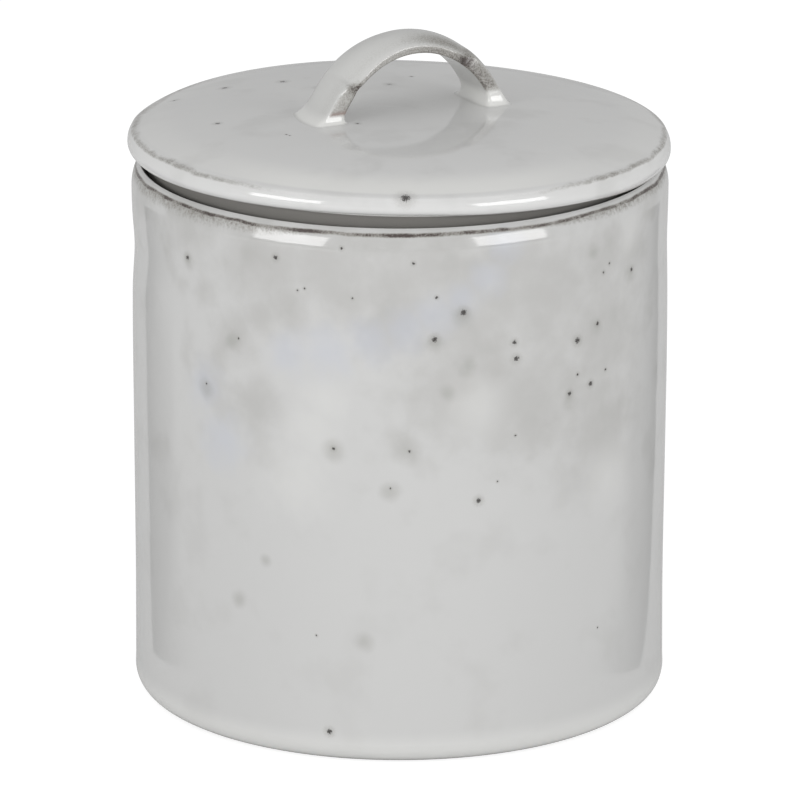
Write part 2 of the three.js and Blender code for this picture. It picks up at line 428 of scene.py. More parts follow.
# The near edge's face: share of its height, and how far it is drawn in there.
FACE = ((0.08, 0.0), (0.5, 0.0), (0.8, 0.0), (0.95, 0.05), (1.0, 0.14))
ACROSS = (0.9, 0.6, 0.3, 0, -0.3, -0.6, -0.9)
CROWN = (-0.93, -0.85, -0.72, -0.55, -0.35, -0.12, 0.12, 0.35, 0.55, 0.72, 0.85, 0.93)


def near_edge(angle):
    """Height of the edge towards the camera: thin over the arch and thick below the notches."""
    arch_edge = ARCH_EDGE - ARCH_EDGE_LOSS * smooth(angle, math.radians(95), NOTCH_LEFT)
    beyond = max(angle - NOTCH_LEFT, NOTCH_RIGHT - angle)
    leg_edge = LEG_EDGE + LEFT_LEG_GAIN * smooth(angle, math.radians(138), math.radians(146))
    return arch_edge + (leg_edge - arch_edge) * smooth(beyond, math.radians(-0.5), math.radians(4.5))


def far_edge(angle):
    """Height of the edge behind, which thickens evenly towards the feet."""
    return FAR_EDGE + FAR_EDGE_GAIN * abs(math.cos(angle)) ** 1.5


def near_dent(angle):
    """How far the near edge is pressed in at the notches, less the swelling beside the right one."""
    dent = DENT_LEFT * bump(angle, NOTCH_LEFT + math.radians(1.5), math.radians(3))
    dent += DENT_RIGHT * bump(angle, NOTCH_RIGHT - math.radians(1.5), math.radians(3.5))
    return dent - SWELLING * bump(angle, NOTCH_RIGHT + math.radians(7), math.radians(6))


def section(angle):
    """One ring of the strap as (across, outward, thinness of the glaze with painted shade at the notches),
    from its far inner corner.
    """
    near, far = near_edge(angle), far_edge(angle)
    half = STRAP_WIDTH / 2 * (1 + 0.05 * abs(math.cos(angle)))
    right = smooth(angle, math.radians(105), math.radians(70))
    # Darker glaze at the notches: painted shade in the small hollows there, on top of the thin glaze.
    notch_shade = bump(angle, NOTCH_LEFT + math.radians(1), math.radians(3.5))
    notch_shade += bump(angle, NOTCH_RIGHT - math.radians(1), math.radians(4))
    ring = [(half * 0.97, 0.0, 0.5)]
    ring += [(half * a, -INSIDE_HOLLOW * (1 - a * a), 0.25) for a in ACROSS]
    nose = -half + near_dent(angle)
    ring.append((nose * 0.97, 0.0, 0.9 + 0.2 * notch_shade))
    worn = 0.58 + 0.2 * right + 0.4 * notch_shade
    ring += [(nose + drawn, near * share, worn - 0.45 * share ** 8) for share, drawn in FACE]
    for a in CROWN:
        side = (near * (1 - a) + far * (1 + a)) / 2
        height = side + (STRAP_THICKNESS - (near + far) / 2) * (1 - a * a)
        rubbed = smooth(-a, 0.1, 0.8) * (0.3 + 0.7 * right) * (1 - 0.5 * smooth(-a, 0.8, 0.93))
        thin = 0.1 + 0.1 * right + 0.5 * rubbed + 0.25 * smooth(a, 0.5, 0.95)
        ring.append((-nose * a if a < 0 else half * a, height, thin + 0.6 * notch_shade * smooth(-a, 0.86, 1)))
    ring += [(half * 0.985, far, 0.45)]
    return ring + [(half, height, 0.5) for height in (far - 0.15, far * 0.5, 0.12)]


def arch_point(angle):
    """A point of the arch's inner line, a little fuller than an ellipse, and the way out from it."""
    rise = ARCH_RISE * math.sin(angle) ** ARCH_FULLNESS
    steepness = ARCH_FULLNESS * rise * math.cos(angle) / math.sin(angle)
    inner = Vector((ARCH_HALF_SPAN * math.cos(angle), 0, ARCH_Z + rise))
    return inner, Vector((steepness, 0, ARCH_HALF_SPAN * math.sin(angle))).normalized()


def strap_ring(angle, shape=None):
    """A ring in space, in millimetres, square to the arch, and the thinness of its glaze."""
    inner, outward = arch_point(angle)
    points = section(angle if shape is None else shape)
    places = [inner + outward * out + Vector((0, across, 0)) for across, out, _ in points]
    for place in places:
        place.z += warp(place + HANDLE_SHIFT)
    return places, [thin for _, _, thin in points]


# %% [markdown]
# Glaze gathers where a leg meets the lid, and so the feet look melted into it. A bevel can't round the
# joint of two separate pieces, so each foot carries its own fillet: below a set height the rings spread
# outwards, tight at the sides and wide under the arch, and end just below the lid's surface.

# %% Feet that melt into the lid
FOOT_START = 4.4
FOOT_RINGS = 18
FOOT_CLOSING = 2.3
SINK = 0.005
# Height and reach of each foot's fillets: at the sides, behind the leg and under the arch.
LEFT_FILLETS = ((3.2, 1.0), (4.2, 2.3), (3.4, 2.8))
RIGHT_FILLETS = ((3.2, 1.2), (2.4, 0.6), (4.4, 3.8))


def top_z(point):
    """Height of the lid's warped top under a point, in millimetres."""
    place = point + HANDLE_SHIFT
    return dome_z(math.hypot(place.x, place.y)) + warp(place)


def foot_rings(angle, side, sizes):
    """Rings that lead from the last ring of a leg out onto the lid, then just below its surface."""
    ring = strap_ring(angle)[0]
    before = strap_ring(angle + side * math.radians(1), angle)[0]
    along = [(a - b).normalized() for a, b in zip(ring, before)]
    base = [p + w * ((p.z - top_z(p)) / -w.z) for p, w in zip(ring, along)]
    count = len(base)
    outward = []
    for i in range(count):
        tangent = sum((base[(i + k) % count] - base[i - k] for k in (1, 2, 3)), Vector())
        outward.append(Vector((tangent.y, -tangent.x, 0)).normalized())
    middle = sum(base, Vector()) / count
    if sum(o.dot(p - middle) for o, p in zip(outward, base)) < 0:
        outward = [-o for o in outward]
    fillets = []
    for out in outward:
        back, front = max(out.x * side, 0) ** 2, max(-out.x * side, 0) ** 2
        shares = (1 - back - front, back, front)
        fillets.append([sum(share * size[k] for share, size in zip(shares, sizes)) for k in (0, 1)])
    rings = []
    for k in range(1, FOOT_RINGS + 1):
        height = FOOT_START * (1 - k / FOOT_RINGS) ** FOOT_CLOSING
        placed = []
        for spot, way, out, (high, reach) in zip(base, along, outward, fillets):
            near = max(1 - height / high, 0)
            place = spot + way * (height / way.z) + out * (reach * (1 - math.sqrt(1 - near * near)))
            place.z = top_z(place) + (height if k < FOOT_RINGS else -SINK)
            placed.append(place)
        rings.append(placed)
    for depth, back in ((0.3, 0.6), (1.2, 2.2)):
        inner = [p - o * back for p, o in zip(rings[FOOT_RINGS - 1], outward)]
        rings.append([Vector((p.x, p.y, top_z(p) - depth)) for p in inner])
    return rings


# %% [markdown]
# The rings become one mesh as a modeller would make it by hand: a disc is extruded again and again, and
# each new edge loop is moved to the next ring. Both ends stay closed, so the handle is a solid.

# %% Loft the handle
ARCH_RINGS = 84


def lofted(name, rings):
    """Extrudes a disc from ring to ring, and says which vertices each ring has."""
    bpy.ops.object.select_all(action="DESELECT")
    bpy.ops.mesh.primitive_circle_add(vertices=len(rings[0]), radius=MM, fill_type="NGON")
    piece = bpy.context.active_object
    piece.name = name
    piece.data.name = name
    bpy.ops.object.mode_set(mode="EDIT")
    bpy.ops.mesh.select_mode(type="FACE")
    bpy.ops.mesh.select_all(action="SELECT")
    mesh = bmesh.from_edit_mesh(piece.data)
    mesh.verts.ensure_lookup_table()
    order = list(range(len(rings[0])))
    for index, point in zip(order, rings[0]):
        mesh.verts[index].co = point * MM
    orders = [order]
    for ring in rings[1:]:
        bpy.ops.mesh.extrude_region_move()
        mesh = bmesh.from_edit_mesh(piece.data)
        mesh.verts.ensure_lookup_table()
        mesh.verts.index_update()
        following = []
        for index, point in zip(order, ring):
            old = mesh.verts[index]
            new = next(e.other_vert(old) for e in old.link_edges if e.other_vert(old).select)
            new.co = point * MM
            following.append(new.index)
        order = following
        orders.append(order)
    bmesh.update_edit_mesh(piece.data)
    bpy.ops.mesh.select_all(action="SELECT")
    bpy.ops.mesh.normals_make_consistent(inside=False)
    bpy.ops.object.mode_set(mode="OBJECT")
    return piece, orders


def leg_angle(side):
    """The arch angle at which the strap's inner face is a foot's height above the lid."""
    angle = math.radians(90)
    while True:
        angle += math.radians(0.25) * side
        inner, _ = arch_point(angle)
        if inner.z - top_z(inner) < FOOT_START:
            return angle


first, last = leg_angle(-1), leg_angle(1)
arch = [strap_ring(first + (last - first) * i / ARCH_RINGS) for i in range(ARCH_RINGS + 1)]
right_foot = foot_rings(first, 1, RIGHT_FILLETS)
left_foot = foot_rings(last, -1, LEFT_FILLETS)
handle, ring_orders = lofted("strap_handle", right_foot[::-1] + [ring for ring, _ in arch] + left_foot)
print(handle.name, len(ring_orders), "rings of", len(ring_orders[0]), "points")

# %% [markdown]
# Where the glaze is thin the clay shows through, and that follows the form: edges, the ridge and the
# notches, where the darker glaze also paints the shade in the small hollows. So each vertex keeps how thin
# its glaze is, how deep it lies in the white pool at a foot, and whether bare red clay shows there, and
# the material reads these three as attributes.

# %% Glaze thickness on the handle
LEFT_POOL_TOP, LEFT_POOL = 2.3, 0.7
RIGHT_POOL_TOP, RIGHT_POOL = 4.0, 0.85
RED_CLAY_SHOWN = 0.7
thin_layer = handle.data.attributes.new("thin", "FLOAT", "POINT")
pool_layer = handle.data.attributes.new("pool", "FLOAT", "POINT")
bare_layer = handle.data.attributes.new("bare", "FLOAT", "POINT")
foot_count = len(right_foot)
for number, order in enumerate(ring_orders):
    leg = min(max(number - foot_count, 0), ARCH_RINGS)
    for index, thin in zip(order, arch[leg][1]):
        place = handle.data.vertices[index].co / MM
        height = place.z - top_z(place)
        pool_top = LEFT_POOL_TOP if place.x < 0 else RIGHT_POOL_TOP
        pool = smooth(height, pool_top + 0.5, pool_top - 2.0) * smooth(height, 0.0, 0.3)
        near = smooth(-place.y, 5.6, 6.3)
        tip = 1 if place.x < 0 else smooth(place.x, 20.5, 22.5)
        thin_layer.data[index].value = thin * smooth(height, pool_top - 1.5, pool_top + 0.5)
        most = LEFT_POOL if place.x < 0 else RIGHT_POOL * smooth(place.x, 24.5, 21.5)
        pool_layer.data[index].value = most * pool
        clay = RED_CLAY_SHOWN * near * tip * bump(height, pool_top + 0.2, 0.45)
        bare_layer.data[index].value = clay if thin > 0.4 else 0

for vertex in handle.data.vertices:
    vertex.co += HANDLE_SHIFT * MM
finer = handle.modifiers.new("finer", "SUBSURF")
finer.levels = finer.render_levels = 1
bpy.context.view_layer.objects.active = handle
bpy.ops.object.modifier_apply(modifier=finer.name)
bpy.ops.object.shade_smooth()
handle_top = max(v.co.z for v in handle.data.vertices) / MM
print("handle", len(handle.data.polygons), "faces, top", round(handle_top, 2))

# %% [markdown]
# The finish is a white stoneware glaze over a grey body that holds iron, which comes up as dark spots.
# Each mark that the photograph shows needs a place on the pot, so a ray is sent through its pixel, and
# the mark sits where that ray meets the piece. Around the back a pattern scatters them.

# %% Find a place on a piece by the pixel that shows it
def seen_on(piece, across, down):
    """Where a pixel of the photograph falls on a piece, in metres."""
    half = camera.data.sensor_width / camera.data.lens
    side = ((across + 0.5) / PHOTO_SIDE - 0.5) * half
    rise = (0.5 - (down + 0.5) / PHOTO_SIDE) * half
    turn = camera.rotation_euler.to_matrix()
    hit, place, _, _ = piece.ray_cast(eye, turn @ Vector((side, rise, -1)))
    if not hit:
        print("no place on", piece.name, "at", across, down)
    return place


# Each mark: pixels across, pixels down, radius in millimetres.
JAR_IRON = (
    (275, 257, 0.55), (187, 257, 0.6), (463, 312, 0.75), (434, 339, 0.7), (514, 342, 0.55),
    (516, 358, 0.7), (577, 340, 0.75), (590, 383, 0.6), (569, 393, 0.55), (577, 374, 0.35),
    (605, 369, 0.3), (478, 500, 0.65), (329, 731, 0.65), (631, 269, 0.5), (597, 323, 0.45),
    (333, 448, 0.4), (206, 383, 0.25), (238, 338, 0.25), (341, 248, 0.35), (603, 272, 0.35),
    (409, 451, 0.3), (390, 488, 0.22), (515, 435, 0.25), (497, 481, 0.22),
    (297, 290, 0.25), (304, 288, 0.25), (413, 263, 0.35), (436, 297, 0.35), (316, 635, 0.22),
    (597, 627, 0.2), (609, 263, 0.3), (352, 298, 0.25),
)
JAR_HALOS = (
    (333, 450, 2.2), (405, 448, 3), (390, 492, 2), (363, 641, 1.9), (239, 599, 1.7), (597, 325, 1.8),
    (206, 388, 2), (463, 316, 2.2), (434, 343, 1.9), (187, 260, 1.8), (265, 560, 1.2), (466, 366, 2),
    (630, 272, 2.2), (593, 252, 1.8), (569, 398, 1.8), (231, 341, 2.2), (447, 393, 1.6),
)
JAR_CLOUDS = (
    (402, 290, 9), (470, 280, 9), (350, 298, 7), (495, 372, 7), (257, 405, 6), (285, 305, 7),
    (540, 318, 8), (232, 335, 6), (190, 215, 9), (262, 318, 5), (600, 262, 7), (632, 250, 6),
    (500, 300, 8), (400, 285, 13), (330, 268, 12), (265, 262, 11), (430, 262, 11), (515, 264, 12),
    (470, 330, 15), (545, 295, 15), (605, 330, 14), (530, 400, 14), (600, 420, 13), (450, 395, 11),
)
JAR_BLUES = (
    (505, 245, 4), (488, 278, 4), (462, 300, 4), (435, 315, 5), (405, 330, 5), (370, 340, 5),
    (325, 352, 6), (290, 352, 5), (205, 385, 5), (222, 440, 6),
)
JAR_PALES = ((325, 402, 5), (297, 478, 8), (605, 478, 6), (630, 235, 4), (310, 430, 6), (475, 405, 6))
LID_IRON = (
    (217, 123, 0.6), (405, 197, 1.2), (357, 123, 0.5), (286, 134, 0.3), (289, 135, 0.25), (411, 76, 0.4)
)
jar_marks = {name: [(seen_on(jar, x, y), r * MM) for x, y, r in marks] for name, marks in (
    ("iron", JAR_IRON), ("halo", JAR_HALOS), ("cloud", JAR_CLOUDS), ("blue", JAR_BLUES),
    ("pale", JAR_PALES),
)}
lid_marks = {"iron": [(seen_on(lid, x, y), r * MM) for x, y, r in LID_IRON]}
print(sum(map(len, jar_marks.values())), "marks on the jar,", len(LID_IRON), "on the lid")

# %% [markdown]
# A material is a chain of nodes. One small helper adds a node with its settings and links. Every colour
# is written as the hex code that a colour picker shows, and one function turns it into linear light.

# %% Colours and the node helper
WHITE_GLAZE = "#CCCCCB"
# The lid's glaze is the jar's made lighter: painted light for the light its top gets from overhead.
LID_WHITE_WITH_PAINTED_LIGHT = "#DBDBDA"
HANDLE_WHITE = "#CFCFCD"
CLOUD_GREY = "#ACABA8"
CLOUD_BLUE = "#C2C6D1"
PALE_WHITE = "#D8D8D6"
HALO_GREY = "#9A9994"
THIN_GREY = "#8F8C86"
BREAK_BROWN = "#433936"
IRON_DARK = "#2A2623"
# Thick white glaze; also laid on as painted light on the jar's lower rounding and in the lid's band.
POOL_WHITE = "#EAEAE7"
# Bare clay, made dark enough to paint the shade in the gap under the lid's brim.
BARE_CLAY_WITH_SHADE = "#787672"
RED_CLAY = "#8A7068"


def linear(code):
    """An sRGB hex colour as Blender's linear colour."""
    parts = [int(code[i:i + 2], 16) / 255 for i in (1, 3, 5)]
    return (*(c / 12.92 if c <= 0.04045 else ((c + 0.055) / 1.055) ** 2.4 for c in parts), 1)


def add(material, kind, links=None, out=0, **settings):
    """Adds one shader node with its settings and links, and gives back one of its outputs."""
    node = material.node_tree.nodes.new("ShaderNode" + kind)
    for name, value in settings.items():
        setattr(node, name, value)
    for socket, value in (links or {}).items():
        if isinstance(value, bpy.types.NodeSocket):
            material.node_tree.links.new(value, node.inputs[socket])
        else:
            node.inputs[socket].default_value = value
    return node.outputs[out]


def new_material(name):
    """An empty node material with its Principled shader."""
    material = bpy.data.materials.new(name)
    material.use_nodes = True
    return material, material.node_tree.nodes["Principled BSDF"]


# Settings that many nodes share, and the numbered sockets of a colour Mix node.
FACTOR, FIRST, SECOND, MIXED = 0, 6, 7, 2
RGBA = {"data_type": "RGBA", "out": MIXED}
SMOOTH = {"interpolation_type": "SMOOTHSTEP"}
TIMES = {"operation": "MULTIPLY"}

# %% Patterns in the glaze
def nearest(glaze, place, marks):
    """The smallest distance to any mark, as a share of that mark's radius."""
    least = None
    for spot, radius in marks:
        away = add(glaze, "VectorMath", {0: place, 1: spot}, out=1, operation="DISTANCE")
        share = add(glaze, "Math", {0: away, 1: radius}, operation="DIVIDE")
        if least is not None:
            share = add(glaze, "Math", {0: least, 1: share}, operation="MINIMUM")
        least = share
    return least


def parts(glaze, place):
    """Distance from the axis, height, and distance to the camera's right, each in metres."""
    height = add(glaze, "SeparateXYZ", {0: place}, out=2)
    level = add(glaze, "VectorMath", {0: place, 1: (1, 1, 0)}, **TIMES)
    radius = add(glaze, "VectorMath", {0: level}, out=1, operation="LENGTH")
    right = add(glaze, "VectorMath", {0: place, 1: TO_RIGHT}, out=1, operation="DOT_PRODUCT")
    return radius, height, right


# %% [markdown]
# White stoneware glaze is glass with fine opaque matter in it. It is whitest where it lies thick, clouded
# grey in places and more so towards the rim, and grey to brown where it ran thin over an edge; a few
# coats also carry painted light and shade. A painted texture would need a map for each piece. Here a list
# of coats does it, each a mask and a colour, laid one over the other from the clouds up to the iron spots.
# Thin places are a little rougher, bare clay is dull.

# %% The glaze over stoneware
DRIFT_SIZE, PUFF_SIZE, SWELL_SIZE, PEPPER_SIZE = 14, 5, 9, 0.35
CLOUDS_THIN_Z, CLOUDS_FULL_Z = 40, 115
SCATTER_CELL, SCATTER_SPOT = 11, 0.8
FRONT_END, BACK_START = -12, -16
GLOSSY, WORN, BARE = 0.09, 0.26, 0.8
GLAZE_IOR = 1.65
PIT_DEPTH = 0.05


def stoneware_glaze(name, white, cloudy, marks, breaks):
    """A white glaze with clouds and iron spots, broken where the masks of breaks say so."""
    glaze, shader = new_material(name)
    place = add(glaze, "TexCoord", out=3)
    radius, height, right = parts(glaze, place)
    drift, puffs, swell, pepper = (
        add(glaze, "TexNoise", {"Vector": place, "Scale": 1 / (size * MM), "Detail": detail})
        for size, detail in ((DRIFT_SIZE, 3.0), (PUFF_SIZE, 3.0), (SWELL_SIZE, 1.0), (PEPPER_SIZE, 2.0))
    )
    thin, pool, bare = breaks(glaze, place, radius, height, right)

    # The grey clouds grow stronger towards the rim.
    upper = {0: height, 1: CLOUDS_THIN_Z * MM, 2: CLOUDS_FULL_Z * MM, 3: 0.35, 4: 1.0}
    upper = add(glaze, "MapRange", upper, **SMOOTH)
    cloud = add(glaze, "MapRange", {0: drift, 1: 0.5, 2: 0.72, 3: 0.0, 4: cloudy}, **SMOOTH)
    coats = [(add(glaze, "Math", {0: cloud, 1: upper}, **TIMES), CLOUD_GREY)]
    for kind, code, most in (
        ("cloud", CLOUD_GREY, 0.5), ("blue", CLOUD_BLUE, 0.45),
        ("pale", PALE_WHITE, 0.5), ("halo", HALO_GREY, 0.4),
    ):
        if marks.get(kind):
            share = nearest(glaze, place, marks[kind])
            ragged = add(glaze, "MapRange", {0: puffs, 1: 0.3, 2: 0.7, 3: -0.3, 4: 0.3})
            share = add(glaze, "Math", {0: share, 1: ragged}, operation="ADD")
            mask = add(glaze, "MapRange", {0: share, 1: 1.7, 2: 0.0, 3: 0.0, 4: most}, **SMOOTH)
            coats.append((mask, code))

    # The thin mask is thin glaze; at the jar's foot line and the handle's notches it also paints shade.
    grain = add(glaze, "MapRange", {0: pepper, 1: 0.34, 2: 0.66, 3: 0.78, 4: 1.22})
    worn = add(glaze, "Math", {0: thin, 1: grain}, **TIMES)
    grey = add(glaze, "MapRange", {0: worn, 1: 0.12, 2: 0.75, 3: 0.0, 4: 0.9}, **SMOOTH)
    brown = add(glaze, "MapRange", {0: worn, 1: 0.6, 2: 1.15, 3: 0.0, 4: 0.95}, **SMOOTH)
    coats += [(grey, THIN_GREY), (brown, BREAK_BROWN), (pool, POOL_WHITE)]

    ragged = add(glaze, "MapRange", {0: pepper, 1: 0.3, 2: 0.7, 3: -0.35, 4: 0.35})
    share = nearest(glaze, place, marks["iron"])
    cells = {"Vector": place, "Scale": 1 / (SCATTER_CELL * MM)}
    scattered = add(glaze, "TexVoronoi", cells, voronoi_dimensions="3D", feature="F1")
    scattered = add(glaze, "Math", {0: scattered, 1: SCATTER_SPOT / SCATTER_CELL}, operation="DIVIDE")
    front = add(glaze, "VectorMath", {0: place, 1: TO_CAMERA}, out=1, operation="DOT_PRODUCT")
    far_off = add(glaze, "MapRange", {0: front, 1: BACK_START * MM, 2: FRONT_END * MM, 3: 0.0, 4: 99.0})
    scattered = add(glaze, "Math", {0: scattered, 1: far_off}, operation="ADD")
    share = add(glaze, "Math", {0: share, 1: scattered}, operation="MINIMUM")
    share = add(glaze, "Math", {0: share, 1: ragged}, operation="ADD")
    halo = add(glaze, "MapRange", {0: share, 1: 3.0, 2: 0.8, 3: 0.0, 4: 0.3}, **SMOOTH)
    iron = add(glaze, "MapRange", {0: share, 1: 1.15, 2: 0.45, 3: 0.0, 4: 0.92}, **SMOOTH)
    coats += [(halo, THIN_GREY), (iron, IRON_DARK), (bare, RED_CLAY if marks.get("red") else BARE_CLAY_WITH_SHADE)]
    colour = linear(white)
    for mask, code in coats:
        colour = add(glaze, "Mix", {FACTOR: mask, FIRST: colour, SECOND: linear(code)}, **RGBA)
    glaze.node_tree.links.new(colour, shader.inputs["Base Color"])

    gloss = add(glaze, "MapRange", {0: grey, 1: 0.0, 2: 1.0, 3: GLOSSY, 4: WORN})
    rough = add(glaze, "Mix", {0: bare, 2: gloss, 3: BARE}, out=0)
    glaze.node_tree.links.new(rough, shader.inputs["Roughness"])
    shader.inputs["IOR"].default_value = GLAZE_IOR

    pits = add(glaze, "Math", {0: iron, 1: -0.8, 2: swell}, operation="MULTIPLY_ADD")
    grit = add(glaze, "Math", {0: worn, 1: 0.1}, **TIMES)
    height_map = add(glaze, "Math", {0: pits, 1: grit}, operation="SUBTRACT")
    bump_map = add(glaze, "Bump", {"Strength": 1.0, "Distance": PIT_DEPTH * MM, "Height": height_map})
    glaze.node_tree.links.new(bump_map, shader.inputs["Normal"])
    return glaze


# %% [markdown]
# On a sharp turn the melting glaze runs off and the iron in the clay shows as a brown line. Just below
# the rim that line wanders a little, and a grey smudge hangs from it, longest on the left. The foot ring
# was wiped and the ledge left bare, so that the pot doesn't stick to the shelf or the lid to the pot.

# %% Where the jar's glaze breaks
BREAK_Z = RIM_Z - 1.35
WANDER = 0.2
SMUDGE_LEFT, SMUDGE_RIGHT, SMUDGE_EVEN = 4.2, 2.2, 0.9
SMUDGE_DARK = 0.62
FOOT_BARE_Z = 0.25


def jar_breaks(glaze, place, radius, height, right):
    """The brown line round the rim with its smudge, painted light from the floor on the lower rounding, a
    line of thin glaze and painted shade where the wall turns under, and the bare places.
    """
    wander = add(glaze, "TexNoise", {"Vector": place, "Scale": 1 / (9 * MM), "Detail": 2.0})
    streak_place = add(glaze, "VectorMath", {0: place, 1: (1, 1, 0.75)}, **TIMES)
    streaks = add(glaze, "TexNoise", {"Vector": streak_place, "Scale": 1 / (0.8 * MM), "Detail": 4.0})
    dense = add(glaze, "TexNoise", {"Vector": place, "Scale": 1 / (6 * MM), "Detail": 2.0})
    dense = add(glaze, "MapRange", {0: dense, 1: 0.35, 2: 0.65, 3: 0.55, 4: 1.0})
    line = {0: wander, 1: 0.3, 2: 0.7, 3: (BREAK_Z - WANDER) * MM, 4: (BREAK_Z + WANDER) * MM}
    line = add(glaze, "MapRange", line)
    below = add(glaze, "Math", {0: line, 1: height}, operation="SUBTRACT")
    away = add(glaze, "Math", {0: below}, operation="ABSOLUTE")
    stroke = add(glaze, "MapRange", {0: away, 1: 0.75 * MM, 2: 0.1 * MM, 3: 0.0, 4: 1.25}, **SMOOTH)
    stroke = add(glaze, "Math", {0: stroke, 1: dense}, **TIMES)
    left = {0: right, 1: -14 * MM, 2: -40 * MM, 3: SMUDGE_EVEN, 4: SMUDGE_LEFT}
    left = add(glaze, "MapRange", left, **SMOOTH)
    edge = add(glaze, "MapRange", {0: right, 1: 30 * MM, 2: 46 * MM, 3: 0.0, 4: SMUDGE_RIGHT}, **SMOOTH)
    reach = add(glaze, "Math", {0: left, 1: edge}, operation="ADD")
    reach = add(glaze, "Math", {0: reach, 1: MM}, **TIMES)
    hang = add(glaze, "Math", {0: below, 1: reach}, operation="DIVIDE")
    hang = add(glaze, "MapRange", {0: hang, 1: 1.0, 2: 0.05, 3: 0.0, 4: SMUDGE_DARK}, **SMOOTH)
    under = add(glaze, "Math", {0: below, 1: -0.15 * MM}, operation="GREATER_THAN")
    torn = add(glaze, "MapRange", {0: streaks, 1: 0.35, 2: 0.65, 3: 0.6, 4: 1.1})
    hang = add(glaze, "Math", {0: hang, 1: under}, **TIMES)
    hang = add(glaze, "Math", {0: hang, 1: torn}, **TIMES)
    thin = add(glaze, "Math", {0: stroke, 1: hang}, operation="MAXIMUM")
    outer = add(glaze, "MapRange", {0: radius, 1: (RIM_RADIUS - 1.6) * MM, 2: (RIM_RADIUS - 1.2) * MM})
    thin = add(glaze, "Math", {0: thin, 1: outer}, **TIMES)

    foot = add(glaze, "MapRange", {0: height, 1: (FOOT_BARE_Z + 0.5) * MM, 2: FOOT_BARE_Z * MM})
    # The ledge is bare clay, and its dark colour also paints the shade in the gap under the brim.
    ledge = add(glaze, "MapRange", {0: radius, 1: (LIP_INNER - 0.1) * MM, 2: (LIP_INNER - 0.6) * MM})
    above = add(glaze, "Math", {0: height, 1: (LEDGE_Z - LEDGE_THICKNESS) * MM}, operation="GREATER_THAN")
    ledge = add(glaze, "Math", {0: ledge, 1: above}, **TIMES)
    ring = add(glaze, "Math", {0: radius, 1: (FOOT_INNER + 0.6) * MM}, operation="GREATER_THAN")
    foot = add(glaze, "Math", {0: foot, 1: ring}, **TIMES)
    bare = add(glaze, "Math", {0: foot, 1: ledge}, operation="MAXIMUM")
    # The lower rounding is whitened: painted light thrown up by the pale floor.
    painted_floor_light = add(glaze, "MapRange", {0: height, 1: 8.5 * MM, 2: 2.5 * MM, 3: 0.0, 4: 0.45}, **SMOOTH)
    # A dark line where the wall turns under to the foot: partly the glaze thinning where it ends, partly
    # painted shade.
    edge = add(glaze, "MapRange", {0: height, 1: 1.1 * MM, 2: 0.5 * MM, 3: 0.0, 4: 0.6}, **SMOOTH)
    edge = add(glaze, "Math", {0: edge, 1: ring}, **TIMES)
    thin = add(glaze, "Math", {0: thin, 1: edge}, operation="MAXIMUM")
    painted_floor_light = add(glaze, "Math", {0: painted_floor_light, 1: edge}, operation="SUBTRACT", use_clamp=True)
    return thin, painted_floor_light, bare


jar_glaze = stoneware_glaze("white_stoneware_glaze_jar", WHITE_GLAZE, 0.42, jar_marks, jar_breaks)

# %% [markdown]
# The lid breaks in the same way along the shoulder of its brim, most at the sides, and faintly along the
# brim's lower edge. A whiter band lies inside the shoulder, partly glaze that ran off the dome and
# collected there and partly painted light from overhead, strongest at the front and back. The masks lean
# with the lid, because the lines follow its edges.

# %% Where the lid's glaze breaks
BRIM_BREAK_Z = FACE_TOP_Z + 0.25
BRIM_WANDER = 0.3
UNDER_BREAK_Z = BRIM_UNDER_Z + 0.25
# Radii of the whiter band of collected glaze and painted light: where it starts and is full, and where it
# begins to end and ends.
BAND = (DOME_RADIUS - 10.85, DOME_RADIUS - 2.85, DOME_RADIUS - 0.65, DOME_RADIUS + 0.55)
BAND_WHITE_AND_LIGHT = 0.75


